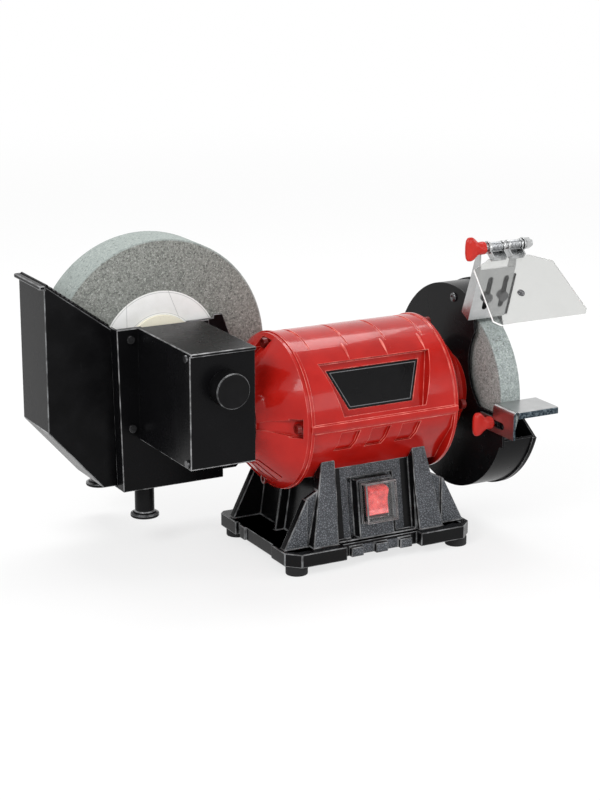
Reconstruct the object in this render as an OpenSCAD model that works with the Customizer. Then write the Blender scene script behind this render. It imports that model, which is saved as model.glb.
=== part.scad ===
// Wet and dry bench grinder. X runs along the motor axis, Y to the back, Z up.
// The origin is on the bench, under the middle of the motor.

/* [Stand] */
// Height of the rubber feet
foot_h = 8; // [5:1:14]
// Diameter of the rubber feet
foot_d = 19; // [14:1:24]
// Length of the stand's flange
flange_x = 182; // [160:2:210]
// Depth of the stand's flange
flange_y = 136; // [124:2:150]
// Thickness of the stand's flange
flange_t = 12; // [8:1:16]
// Cut at the flange's front corners
flange_cut = 11; // [4:1:16]
// Cut at the flange's back corners
flange_cut_back = 4; // [2:1:10]
// Distance from the flange's edge to a bench hole
hole_inset = 12; // [10:0.5:16]
// Diameter of the bench holes
hole_d = 6.5; // [4:0.5:8]
// Wall of the hollow stand
stand_wall = 4; // [3:0.5:6]
// Thickness of the bottom plate
bottom_t = 2; // [1:0.5:4]

/* [Motor] */
// Height of the motor axis above the bench
axis_z = 128; // [120:1:140]
// Radius of the motor casing
motor_r = 67; // [62:1:70]
// Length of the casing between the end caps
motor_len = 142; // [120:2:150]
// Wall of the casing
motor_wall = 5; // [3:0.5:7]
// Height of the ridge on each side of the casing
ridge_h = 4; // [3:0.5:8]
// How far the ridge stands out
ridge_out = 2; // [1:0.5:3]
// Diameter of the motor shaft at its bearings
shaft_d = 17; // [14:1:20]
// Diameter of the shaft under the grinding wheel
arbor_d = 12.7; // [10:0.1:16]
// Length of the left end cap
left_cap_len = 36; // [30:1:38]
// Length of the right end cap
right_cap_len = 20; // [14:1:26]
// Diameter of the rotor
rotor_d = 66; // [50:1:80]
// Air gap around the rotor
air_gap = 0.5; // [0.3:0.1:1]
// Length of the iron cores
core_len = 56; // [40:2:70]

/* [Dry wheel] */
// Diameter of the dry wheel
dry_d = 150; // [120:5:152]
// Thickness of the dry wheel
dry_t = 20; // [12:1:24]
// Length of the right end cap with its neck
neck_len = 33; // [30:0.5:39]
// Radius of the guard
guard_r = 91; // [86:1:96]
// Sheet of the guard
guard_t = 2; // [1:0.5:3]
// Width of the guard inside
guard_w = 32; // [30:1:36]

/* [Wet end] */
// Gap between the left end cap and the gearbox cover
cover_gap = 5; // [3:0.5:8]
// Module of the worm drive
gear_m = 2; // [1.8:0.05:2.1]
// Teeth on the worm wheel, which is also the reduction
gear_teeth = 22; // [20:1:23]
// Radius of the worm at its pitch line
worm_r = 18; // [16:0.5:19]
// Face width of the worm wheel
gear_w = 14; // [8:1:18]
// Diameter of the wet stone
wet_d = 200; // [180:5:202]
// Thickness of the wet stone
wet_t = 40; // [25:1:42]
// Distance of the stone's front face behind the motor axis
wet_y = 80; // [78:0.5:84]
// Diameter of the wet spindle
spindle_d = 20; // [16:1:22]
// Wall of the water tank
tank_wall = 2; // [1.5:0.5:3]
// Gap between the stone and the tank's walls
tank_gap = 7; // [5:0.5:9]
// Room under the stone in the tank, down to the tank's underside
tank_room = 10.5; // [7:0.5:14]
// Width of the gearbox cover
cover_x = 59; // [58:1:64]
// Sheet of the gearbox cover and of the tank bracket
sheet = 1.5; // [1:0.25:2]

/* [Controls] */
// Tilt of the rocker at rest
rocker_tilt = 8; // [4:1:10]
// Angle of the spark bracket above the horizontal
bracket_lean = 71.5; // [66:0.5:76]
// Gap between the spark bracket and the dry wheel
bracket_gap = 4.8; // [3:0.2:7]
// Tilt of the eye shield from the vertical
shield_tilt = 50; // [40:1:60]
// Thickness of the eye shield
shield_t = 2; // [1:0.5:4]
// Gap between the tool rest and the dry wheel
rest_gap = 3; // [1:0.5:6]
// Length of the tool rest along the motor axis
rest_len = 44; // [34:1:54]

/* [Hidden] */
$fn = 64;
e = 0.01;
fit = 0.05;
clear = 0.3;
pitch_r = gear_m * gear_teeth / 2;
lead = PI * gear_m;
spindle_z = axis_z + worm_r + pitch_r;
// The gearbox cover sits a little left of the wet spindle
cover_off = 2;
wet_x = motor_len / 2 + left_cap_len + cover_gap + cover_x / 2 - cover_off;
dry_x = motor_len / 2 + neck_len + 6;

black = "#17181a";
grey = "#3b3d40";
red = "#b8251e";
zinc = "#c3c6c8";
steel = "#9a9da0";

// Turns a shape that is drawn along Z so that it lies along X from the point x
module along_x(x, y = 0, z = axis_z) { translate([x, y, z]) rotate([0, 90, 0]) children(); }
// The same along Y, from the point y to the back
module along_y(x, y, z) { translate([x, y, z]) rotate([-90, 0, 0]) children(); }
// A ring along Z
module ring(r_out, r_in, h) {
    difference() {
        cylinder(r = r_out, h = h);
        translate([0, 0, -1]) cylinder(r = r_in, h = h + 2);
    }
}
// A flat outline in X and Z, extruded from y towards the back
module plate_y(y, t) { translate([0, y + t, 0]) rotate([90, 0, 0]) linear_extrude(t) children(); }
// A flat outline in Y and Z, extruded from x to the right
module plate_x(x, t) { translate([x, 0, 0]) rotate([90, 0, 90]) linear_extrude(t) children(); }

// ---------- stand ----------
flange_z = foot_h;
saddle_z = flange_z + flange_t;
hole_x = flange_x / 2 - hole_inset;
hole_y = flange_y / 2 - hole_inset;
// Half sizes of the hollow pedestal at the flange and at the top
foot_hx = 62;
foot_hy = 56;
top_hx = 50;
top_hy = 44;
stand_top = 97;

module bench_holes() {
    for (sx = [-1, 1], sy = [-1, 1])
        translate([sx * hole_x, sy * hole_y, -1]) cylinder(d = hole_d, h = saddle_z + 20);
}
module flange_outline(inset = 0) {
    hx = flange_x / 2 - inset;
    hy = flange_y / 2 - inset;
    c = flange_cut;
    b = flange_cut_back;
    polygon([[-hx + c, -hy], [hx - c, -hy], [hx, -hy + c], [hx, hy - b],
        [hx - b, hy], [-hx + b, hy], [-hx, hy - b], [-hx, -hy + c]]);
}
// The pedestal's solid form: two tapered outlines crossed, inset by the wall
module pedestal(w, z0, z1) {
    k = (z1 - saddle_z) / (stand_top - saddle_z);
    bx = foot_hx - w;
    by = foot_hy - w;
    tx = foot_hx + (top_hx - foot_hx) * k - w;
    ty = foot_hy + (top_hy - foot_hy) * k - w;
    intersection() {
        plate_y(-flange_y / 2, flange_y) polygon([[-bx, z0], [bx, z0], [tx, z1], [-tx, z1]]);
        plate_x(-flange_x / 2, flange_x) polygon([[-by, z0], [by, z0], [ty, z1], [-ty, z1]]);
    }
}
switch_z = 51;
switch_w = 32;
switch_h = 37;
// The front wall's lean and its place at the switch
front_lean = atan((foot_hy - top_hy) / (stand_top - saddle_z));
switch_y = -(foot_hy + (top_hy - foot_hy) * (switch_z - saddle_z) / (stand_top - saddle_z));
module at_switch() { translate([0, switch_y, switch_z]) rotate([-front_lean, 0, 0]) children(); }

// Half width of the sunk front panel, its depth, and the groove round the switch block
panel_hx = 38;
panel_sink = 6;
block_hx = 17;
groove_sink = 10;
module front_panel_cut() {
    // The panel between the ribs, sunk round the block that carries the switch
    z0 = (saddle_z - switch_z) / cos(front_lean) + 1;
    at_switch() difference() {
        union() {
            translate([-panel_hx, -10, z0]) cube([2 * panel_hx, 10 + panel_sink, stand_top]);
            translate([-block_hx - 6, -10, z0]) cube([2 * block_hx + 10, 10 + groove_sink, 21.5 - z0]);
        }
        translate([-block_hx, -12, z0 - 1]) cube([2 * block_hx, 40, 21 - z0]);
    }
}
module pilaster(s) {
    // A tapered rib on the front or back wall, from the flange up to the casing
    hull() {
        translate([s * 52 - 12, -foot_hy - 3, saddle_z - 1]) cube([24, 10, 2]);
        translate([s * 43.5 - 7, -top_hy - 3, stand_top - 6]) cube([14, 10, 2]);
    }
}
gusset_top = 61.5;
gusset_t = 8;
gusset_x = 66;
module corner_gusset(sx, sy) {
    // A pointed web near each flange corner, and a thinner one that joins it to the pedestal
    x1 = flange_x / 2 - 3;
    mirror([sx < 0 ? 1 : 0, 0, 0]) mirror([0, sy > 0 ? 1 : 0, 0]) {
        plate_y(4 - foot_hy, gusset_t) polygon([[gusset_x, saddle_z - 2], [x1, saddle_z - 2],
            [x1, saddle_z + 1], [gusset_x + 1.5, gusset_top], [gusset_x, gusset_top]]);
        plate_y(7 - foot_hy, gusset_t - 3) polygon([[top_hx - 6, saddle_z - 2],
            [gusset_x + e, saddle_z - 2], [gusset_x + e, gusset_top], [top_hx - 6, gusset_top + 12]]);
    }
}
// Half width of the flange's stepped front edge, and its three blocks
step_hx = 36.5;
step_in = 4;
block_x = [-24, 0, 24];
block_top = 16.5;
module front_edge_cut() {
    y0 = -flange_y / 2;
    translate([-step_hx, y0 - 1, flange_z - 1]) cube([2 * step_hx, 1 + step_in, flange_t + 2]);
    difference() {
        translate([-step_hx, y0, flange_z - 1]) cube([2 * step_hx, 2 * step_in, flange_t + 2]);
        for (x = block_x) translate([x - 6, y0 - 1, 0]) cube([12, 4 * step_in, block_top]);
    }
}
// The sides of the flange step in between the corners, with a notch towards the back
module side_edge_cut(s) {
    mirror([s < 0 ? 1 : 0, 0, 0]) translate([flange_x / 2 - 2, 0, flange_z - 1]) {
        translate([0, -32, 0]) cube([4, 50, flange_t + 2]);
        translate([-2, 27, 0]) cube([6, 8, flange_t + 2]);
    }
}
// A thin upright web in the middle of each side wall
module side_rib(s) {
    mirror([s < 0 ? 1 : 0, 0, 0]) plate_y(-1.5, 3)
        polygon([[top_hx - 8, saddle_z - 2], [foot_hx + 9, saddle_z - 2], [foot_hx + 2, 62],
            [top_hx - 8, 62]]);
}
module stand() {
    color(black) difference() {
        union() {
            difference() {
                translate([0, 0, flange_z]) linear_extrude(flange_t) flange_outline();
                // The hollow underside of the flange
                translate([0, 0, flange_z - 1]) linear_extrude(flange_t - stand_wall + 1)
                    square([2 * foot_hx - 8, flange_y - 24], center = true);
            }
            for (s = [-1, 1])
                mirror([0, s < 0 ? 1 : 0, 0]) for (p = [-1, 1]) pilaster(p);
            for (sx = [-1, 1], sy = [-1, 1]) corner_gusset(sx, sy);
            pedestal(0, saddle_z - 1, stand_top);
            for (s = [-1, 1]) side_rib(s);
        }
        // The hollow inside, whose front wall leaves room for the sunk panel
        intersection() {
            pedestal(stand_wall, saddle_z - stand_wall - e, stand_top - 24);
            translate([0, groove_sink, 0])
                pedestal(stand_wall, saddle_z - stand_wall - e, stand_top - 24);
        }
        front_panel_cut();
        bench_holes();
        // The saddle that the casing lies in
        translate([0, 0, axis_z]) plate_x(-flange_x / 2, flange_x) casing_outline();
        // The opening of the switch
        at_switch() translate([-switch_w / 2 + 3, -10, -switch_h / 2 + 3])
            cube([switch_w - 6, 12 + groove_sink + stand_wall, switch_h - 6]);
        // The hole of the cable gland
        along_y(gland_x, foot_hy - 14, gland_z) cylinder(d = gland_d, h = 24);
        front_edge_cut();
        for (s = [-1, 1]) side_edge_cut(s);
    }
}
module bottom_plate() {
    color(grey) translate([0, 0, flange_z]) linear_extrude(bottom_t)
        square([2 * foot_hx - 8 - 2 * clear, flange_y - 24 - 2 * clear], center = true);
}
module rubber_feet() {
    color("#0c0c0d") for (sx = [-1, 1], sy = [-1, 1])
        translate([sx * hole_x, sy * hole_y, 0]) ring(foot_d / 2, hole_d / 2, foot_h);
}

// ---------- motor ----------
half = motor_len / 2;
bore_r = 54.5;
plate_t = 1;
// Lean of the nameplate's panel, and its distance from the axis
panel_lean = 26;
panel_d = 57;
groove_x = [-55, -18.5, 18.5, 55];
// Outline of the casing in Y and Z about the motor axis: round above, narrower below the ridges
module casing_outline(inset = 0) {
    r = motor_r - inset;
    intersection() {
        circle(r = r, $fn = 96);
        polygon([[-r, 0], [-r, r], [r, r], [r, 0], [r - 5, -18], [r - 21, -38], [r - 31, -52],
            [0, -62], [31 - r, -52], [21 - r, -38], [5 - r, -18]]);
    }
}
module motor_casing() {
    color(red) difference() {
        union() {
            translate([0, 0, axis_z]) plate_x(-half, motor_len) casing_outline();
            for (s = [-1, 1]) mirror([0, s > 0 ? 1 : 0, 0]) plate_x(-half, motor_len)
                translate([-motor_r - ridge_out, axis_z]) polygon([[0, ridge_h / 2],
                    [10, ridge_h / 2 + 2.5], [10, -8], [ridge_out, -5], [0, -ridge_h / 2]]);
            // The beads that meet the end caps
            for (x = [-half, half - bead_w]) along_x(x) ring(motor_r + 1, bore_r + 2, bead_w);
        }
        along_x(-half - 1) cylinder(r = bore_r, h = motor_len + 2, $fn = 96);
        // The sunk panel of the nameplate
        on_panel() linear_extrude(20) panel_outline(7);
        on_panel() translate([0, 0, -plate_t]) linear_extrude(20) panel_outline(clear);
        for (x = [-33, 4.5 - 8, 26]) lower_recess(x);
        // The grooves across the top
        intersection() {
            for (x = groove_x) along_x(x - 1) ring(motor_r + 3, motor_r - 1, 2);
            translate([-half, -motor_r, axis_z + 58]) cube([motor_len, 2 * motor_r, motor_r]);
        }
    }
}
bead_w = 3;
// A frame on the nameplate's panel: x to the right, y up the panel, z out of it
module on_panel() {
    translate([0, -panel_d * cos(panel_lean), axis_z + panel_d * sin(panel_lean)])
        rotate([90 - panel_lean, 0, 0]) children();
}
module panel_outline(grow = 0) {
    g = grow;
    polygon([[-44.5 - 1.3 * g, 17.5 + 0.85 * g], [44.5 + 1.3 * g, 17.5 + 0.85 * g],
        [30.5 + 1.3 * g, -17 - 0.9 * g], [-30.5 - 1.3 * g, -17 - 0.9 * g]]);
}
module nameplate() {
    color("#141414") on_panel() translate([0, 0, -plate_t]) linear_extrude(plate_t) panel_outline();
}
pocket_depth = 3;
module lower_recess(x) {
    // A slanted pocket in the lower front, of one depth all over
    difference() {
        plate_y(-motor_r - 5, 30) polygon([[x - 8, axis_z - 8], [x + 10, axis_z - 8],
            [x + 5, axis_z - 25], [x - 11, axis_z - 25]]);
        translate([0, 0, axis_z]) plate_x(-half, motor_len) casing_outline(pocket_depth);
    }
}
// Half outlines of the end caps, from the casing outwards: distance along the axis and radius
left_cap_outline = [[0, motor_r], [3, motor_r], [9, 61.5], [18, 52], [27, 42], [left_cap_len, 38]];
neck_r = 30;
right_cap_outline = [[0, motor_r], [3, 64.5], [8, 57], [14, 47], [right_cap_len, 44],
    [right_cap_len, neck_r], [neck_len, neck_r]];
screw_angles = [0, 90, 180, 270];
screw_r = 60;
screw_depth = 7;
bearing_d = 35;
bearing_w = 11;
bearing_back = 4;
module end_cap_body(outline) {
    rotate_extrude($fn = 96) polygon(concat([[0, 0]],
        [for (q = outline) [q[1], q[0]]], [[0, outline[len(outline) - 1][0]]]));
}
module end_cap_cavity(len) {
    translate([0, 0, -1]) cylinder(r = bore_r - 8, h = 5);
    translate([0, 0, len - bearing_w - bearing_back]) cylinder(d = bearing_d, h = bearing_w);
    translate([0, 0, -1]) cylinder(d = bearing_d - 5, h = len - bearing_back);
    translate([0, 0, -1]) cylinder(d = shaft_d + 2, h = len + 30);
}
module screw_pockets(len) {
    // A flat-floored pocket for each screw, which widens outwards
    for (a = screw_angles) rotate([0, 0, a]) translate([0, 0, screw_depth])
        linear_extrude(len) polygon([[screw_r - 5, -8], [screw_r + 20, -8], [screw_r + 20, 8],
            [screw_r - 5, 8]]);
}
// The slope of the channels' floors on the left cap, measured from the radius
channel_slope = 125;
module cap_channels() {
    // From each screw a channel narrows along the cone, its floor a few mm under the surface
    for (a = screw_angles) rotate([0, 0, a]) translate([screw_r - 5, 0, screw_depth])
        rotate([0, -channel_slope, 0]) translate([0, 0, -30]) linear_extrude(30)
            polygon([[-6, -8.5], [34, -3], [34, 3], [-6, 8.5]]);
}
slot_angles = [-35, -26, -17];
module left_end_cap() {
    color(red) along_x(-half) mirror([0, 0, 1]) difference() {
        end_cap_body(left_cap_outline);
        end_cap_cavity(left_cap_len);
        screw_pockets(left_cap_len);
        cap_channels();
        // The cooling slots
        for (a = slot_angles) rotate([0, 0, a]) translate([40, -1.1, left_cap_len - 28])
            cube([20, 2.2, left_cap_len]);
    }
}
module right_end_cap() {
    color(red) along_x(half) difference() {
        end_cap_body(right_cap_outline);
        end_cap_cavity(right_cap_len);
        screw_pockets(right_cap_len);
    }
}
module end_cap_screws() {
    color("#8c1b16") for (s = [-1, 1]) along_x(s * half) mirror([0, 0, s < 0 ? 1 : 0])
        for (a = screw_angles) rotate([0, 0, a]) translate([screw_r, 0, screw_depth])
            difference() {
                cylinder(d = 8.5, h = 4);
                translate([0, 0, 2]) cylinder(d = 4.5, h = 3);
            }
}
stator_r = bore_r;
module stator_core() {
    color(steel) along_x(-core_len / 2) ring(stator_r, rotor_d / 2 + air_gap, core_len);
}
module stator_windings() {
    color("#a4572a") for (s = [-1, 1])
        along_x(s > 0 ? core_len / 2 : -core_len / 2 - 12) ring(stator_r - 4, rotor_d / 2 + 3, 12);
}
bearing_x = [-half - left_cap_len + bearing_back, half + right_cap_len - bearing_back - bearing_w];
module motor_bearings() {
    color(zinc) for (x = bearing_x) along_x(x) ring(bearing_d / 2, shaft_d / 2 + fit, bearing_w);
}
module capacitor() {
    color("#d8d8d2") along_x(-38, 14, flange_z + bottom_t + 15) cylinder(d = 30, h = 62);
}
gland_x = -30;
gland_z = 34;
gland_d = 14;
module cable_gland() {
    color("#101011") along_y(gland_x, foot_hy - 10, gland_z) difference() {
        union() {
            cylinder(d = gland_d, h = 14);
            translate([0, 0, 12]) cylinder(d = gland_d + 5, h = 3);
            translate([0, 0, 14.5]) cylinder(d1 = gland_d + 1, d2 = gland_d - 3, h = 9);
        }
        translate([0, 0, -1]) cylinder(d = 7.5, h = 30);
    }
}

// ---------- switch ----------
module switch_body() {
    color(black) at_switch() difference() {
        union() {
            translate([-switch_w / 2, -3, -switch_h / 2]) cube([switch_w, 3, switch_h]);
            translate([-switch_w / 2 + 3 + clear, -3, -switch_h / 2 + 3 + clear])
                cube([switch_w - 6 - 2 * clear, 24, switch_h - 6 - 2 * clear]);
        }
        translate([-10, -4, -14]) cube([20, 14, 28]);
    }
}
module rocker() {
    color("#c8221c") at_switch() translate([0, 2, 0]) rotate([rocker_tilt, 0, 0]) difference() {
        intersection() {
            along_x(-9.5, 0, 0) cylinder(r = 13, h = 19);
            translate([-9.5, -8, -12.7]) cube([19, 13, 25.4]);
        }
        along_x(-10, -32, 0) cylinder(r = 26, h = 20);
    }
}
module switch_hood() {
    color([0.9, 0.9, 0.92, 0.4]) at_switch() difference() {
        translate([-switch_w / 2 + 1, -12, -switch_h / 2 + 1]) cube([switch_w - 2, 9, switch_h - 2]);
        translate([-switch_w / 2 + 2.2, -10.8, -switch_h / 2 + 2.2])
            cube([switch_w - 4.4, 9, switch_h - 4.4]);
    }
}

// ---------- rotor, worm and dry wheel ----------
shaft_left = -wet_x - 24;
// Thickness of the wheel's flanges and of its nut
flange_t2 = 2.5;
nut_t = 5;
wheel_seat = dry_x - flange_t2;
module motor_shaft() {
    color(zinc) {
        along_x(shaft_left) cylinder(d = shaft_d, h = wheel_seat - shaft_left);
        along_x(wheel_seat - e) cylinder(d = arbor_d, h = dry_t + 2 * flange_t2 + nut_t);
    }
}
module rotor_core() {
    color(steel) along_x(-core_len / 2) ring(rotor_d / 2, shaft_d / 2, core_len);
}
worm_len = 40;
worm_root = worm_r - 1.25 * gear_m;
thread_w = 0.36;
// One point of the thread's section: i from 0 to 3 around the trapezoid
function thread_point(i, a) = let (
    tip = worm_r + gear_m,
    root = worm_root - 0.5,
    r = i == 0 || i == 3 ? root : tip,
    half_w = i == 0 || i == 3 ? lead * thread_w * 0.85 : lead * thread_w * 0.36,
    dx = i < 2 ? -half_w : half_w)
    [lead * a / 360 + dx, r * cos(a), r * sin(a)];
module worm() {
    turns = floor(worm_len / lead) - 1;
    steps = 24;
    n = turns * steps;
    pts = [for (k = [0:n], i = [0:3]) thread_point(i, 360 * k / steps)];
    faces = concat([[3, 2, 1, 0]], [[4 * n, 4 * n + 1, 4 * n + 2, 4 * n + 3]],
        [for (k = [0:n - 1], i = [0:3], h = [0, 1]) let (j = (i + 1) % 4, q = 4 * k)
            h == 0 ? [q + j, q + 4 + j, q + 4 + i] : [q + j, q + 4 + i, q + i]]);
    color("#b8903c") {
        translate([-wet_x - turns * lead / 2, 0, axis_z]) rotate([worm_phase, 0, 0])
            polyhedron(pts, faces, convexity = 8);
        along_x(-wet_x - worm_len / 2) ring(worm_root, shaft_d / 2, worm_len);
    }
}
worm_phase = 90;
module dry_wheel() {
    color("#84857f") along_x(dry_x) ring(dry_d / 2, arbor_d / 2 + 0.1, dry_t);
}
module wheel_flanges() {
    color(zinc) for (x = [wheel_seat, dry_x + dry_t]) along_x(x) ring(22, arbor_d / 2, flange_t2);
}
module wheel_nut() {
    color(zinc) along_x(dry_x + dry_t + flange_t2) difference() {
        cylinder(d = 22, h = nut_t, $fn = 6);
        translate([0, 0, -1]) cylinder(d = arbor_d, h = 9);
    }
}

// ---------- guard ----------
guard_x = dry_x - 6;
guard_in = guard_x + guard_t;
guard_out = guard_in + guard_w;
mouth_r = 45.5;
// A point in Y and Z about the axis: up along the spark bracket's face, and back from it
function behind_bracket(up, back) = [
    -plate_r0 * cos(plate_r0_angle) - up * cos(bracket_lean) + back * sin(bracket_lean),
    plate_r0 * sin(plate_r0_angle) + up * sin(bracket_lean) + back * cos(bracket_lean)];
// The open front of the guard in Y and Z about the axis, from the spark bracket down
module guard_mouth(back) {
    translate([-78 + back / 2, 29]) circle(r = mouth_r);
    polygon([behind_bracket(-3, back), behind_bracket(40, back), [-130, 60], [-130, -31],
        [-86, -31], [-52, -9]]);
}
lug_r = 8;
lug_t = 2;
// How far the spark bracket slides down from its place
slide_down = 3;
// How far the cover's rim stands out past the guard
rim_t = 1.6;
module guard_shell() {
    tab_back = plate_t2 + clear;
    color(black) difference() {
        union() {
            translate([0, 0, axis_z]) difference() {
                union() {
                    plate_x(guard_x, guard_t) circle(r = guard_r, $fn = 96);
                    plate_x(guard_x, guard_w + guard_t) difference() {
                        circle(r = guard_r, $fn = 96);
                        circle(r = guard_r - guard_t, $fn = 96);
                    }
                }
                plate_x(guard_x - 1, guard_w + 9) guard_mouth(tab_back + guard_t / 2);
                plate_x(guard_x - 1, guard_t + 2) circle(r = 16);
            }
            // The tab behind the spark bracket, short enough for the right cheek to slide down
            on_bracket() translate([guard_x + guard_t / 2, 0, -tab_back - guard_t])
                cube([guard_w, cheek_from - slide_down - clear, guard_t]);
            // The lug of the tool rest
            translate([guard_x, -88, 92]) cube([guard_t, 40, 28]);
            along_x(guard_x - lug_t, bolt_y, rest_slot_z) cylinder(r = lug_r - 1, h = lug_t + e);
        }
        along_x(guard_x - 9, bolt_y, rest_slot_z) cylinder(d = 6, h = 30);
        on_bracket() for (x = slot_x) translate([plate_x0 + x, screw_up, -9]) cylinder(d = 4.5, h = 12);
    }
}
module guard_cover() {
    color(black) translate([0, 0, axis_z]) difference() {
        union() {
            plate_x(guard_out, guard_t) circle(r = guard_r + rim_t, $fn = 96);
            plate_x(guard_out - 2, 2 + e) difference() {
                circle(r = guard_r + rim_t, $fn = 96);
                circle(r = guard_r + fit, $fn = 96);
            }
        }
        plate_x(guard_out - 4, guard_t + 6) guard_mouth(16);
    }
}
guard_screw_angles = [15, 75, 135, 195];
module guard_screws() {
    color(grey) {
        for (a = guard_screw_angles) along_x(guard_out + guard_t)
            rotate([0, 0, a]) translate([guard_r - 8, 0, 0]) cylinder(d = 7, h = 2.5);
        for (a = [45, 135, 225, 315]) along_x(guard_in)
            rotate([0, 0, a]) translate([26, 0, 0]) cylinder(d = 6, h = 2);
    }
}

// ---------- gearbox ----------
cover_l = -wet_x - cover_off - cover_x / 2;
cover_r = cover_l + cover_x;
cover_front = -46;
cover_back = 56;
cover_bottom = 101;
cover_top = 199.5;
housing_wall = 3;
// Room for the worm wheel inside the housing
wheel_room = pitch_r + gear_m + 0.5;
module gear_housing() {
    g = sheet;
    l = cover_l + g;
    r = cover_r - g;
    f = cover_front + g;
    b = cover_back - g;
    z0 = cover_bottom + g;
    z1 = cover_top - g;
    color(grey) difference() {
        union() {
            translate([l, f, z0]) cube([r - l, b - f, z1 - z0]);
            along_x(r - e) cylinder(r = 30, h = -half - left_cap_len - r + e);
        }
        translate([-wet_x - wheel_room, f + 12, z0 + 2]) cube([2 * wheel_room, b - f - 26, z1]);
        along_y(-wet_x, f - 1, spindle_z) cylinder(d = bush_d, h = b - f + 2);
        along_x(r - 20) cylinder(d = shaft_d + 2, h = 80);
    }
}
bush_d = spindle_d + 8;
bush_y = [cover_front + sheet, cover_back - sheet - 14];
module spindle_bushes() {
    color("#b88a3a") {
        along_y(-wet_x, bush_y[0], spindle_z) ring(bush_d / 2, spindle_d / 2 + fit, 12);
        along_y(-wet_x, bush_y[1], spindle_z) ring(bush_d / 2, spindle_d / 2 + fit, 14);
    }
}
module gearbox_cover() {
    g = sheet;
    color(black) difference() {
        union() {
            translate([cover_l, cover_front, cover_bottom])
                cube([cover_x, cover_back - cover_front, cover_top - cover_bottom]);
            translate([cover_l, cover_front - 2.5, cover_top - 3]) cube([cover_x, 4, 3]);
        }
        translate([cover_l + g, cover_front + g, cover_bottom + g])
            cube([cover_x - 2 * g, cover_back - cover_front, cover_top - cover_bottom - 2 * g]);
        along_x(cover_r - 5) cylinder(r = 31, h = 10);
        along_y(-wet_x, cover_front - 5, spindle_z) cylinder(d = spindle_d + 2, h = 10);
    }
}
cover_screw_z = [cover_bottom + 5, cover_top - 5];
module cover_screws() {
    color(steel) for (z = cover_screw_z)
        along_x(cover_l - 2.2, cover_front + 5, z) cylinder(d = 6.5, h = 2.2);
}
cap_len = 16;
module spindle_cap() {
    color(black) along_y(-wet_x, cover_front - cap_len, spindle_z) difference() {
        union() {
            cylinder(r = 14.5, h = cap_len);
            translate([0, 0, 1]) cylinder(r = 15, h = cap_len - 1);
        }
        translate([0, 0, 3]) cylinder(d = spindle_d + 2, h = cap_len);
    }
}

// ---------- wet spindle ----------
stone_back = wet_y + wet_t;
spindle_y0 = cover_front - cap_len + 5;
module wet_spindle() {
    color(zinc) along_y(-wet_x, spindle_y0, spindle_z) cylinder(d = spindle_d, h = stone_back + hub_t + 4 - spindle_y0);
}
module worm_wheel() {
    tip = pitch_r + gear_m;
    root = pitch_r - 1.25 * gear_m;
    step = 360 / gear_teeth;
    w_root = 0.30 * lead;
    w_tip = 0.13 * lead;
    color("#c9a04a") translate([-wet_x, gear_w / 2, spindle_z]) rotate([90, 0, 0]) {
        ring(root, spindle_d / 2, gear_w);
        for (k = [0:gear_teeth - 1]) rotate([0, 0, -90 + k * step]) linear_extrude(gear_w)
            polygon([[root - 1, -w_root], [root, -w_root], [tip, -w_tip],
                [tip, w_tip], [root, w_root], [root - 1, w_root]]);
    }
}
module wet_stone() {
    color("#8b8b82") along_y(-wet_x, wet_y, spindle_z) ring(wet_d / 2, spindle_d / 2 + 0.1, wet_t);
}
label_t = 0.6;
hub_r = 34;
hub_t = 2.5;
module stone_label() {
    color("#f4f3ee") along_y(-wet_x, wet_y - label_t, spindle_z) ring(55, hub_r + 0.2, label_t);
}
module stone_flanges() {
    color("#efe9d2") {
        along_y(-wet_x, wet_y - hub_t, spindle_z) ring(hub_r, spindle_d / 2, hub_t);
        along_y(-wet_x, stone_back, spindle_z) ring(hub_r, spindle_d / 2, hub_t);
    }
}
module spindle_nut() {
    color(zinc) along_y(-wet_x, stone_back + hub_t, spindle_z) difference() {
        cylinder(d = 34, h = 6, $fn = 6);
        translate([0, 0, -1]) cylinder(d = spindle_d, h = 5);
    }
}

// ---------- tank and its bracket ----------
tank_depth = wet_t + 2 * (tank_gap + tank_wall);
tank_front = wet_y - tank_gap - tank_wall;
tank_back = tank_front + tank_depth;
wet_r = wet_d / 2;
tank_z = spindle_z - wet_r - tank_room;
// The tank's left wall, its top there, and the lower rim past the slope
tank_l = -wet_x - wet_r - 8.5;
tank_r = -wet_x + wet_r + 12.5;
tank_top = spindle_z + 0.7 * wet_r + 2.5;
tank_rim = spindle_z + 28;
slope_x = 60;
slope_angle = atan((tank_top - tank_rim) / slope_x);
slope_len = norm([slope_x, tank_top - tank_rim]);
// How far the lip's root reaches over the left wall, and where the work rest starts past it
lip_root = 1;
rest_from = (lip_root + clear) / cos(slope_angle);
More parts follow.
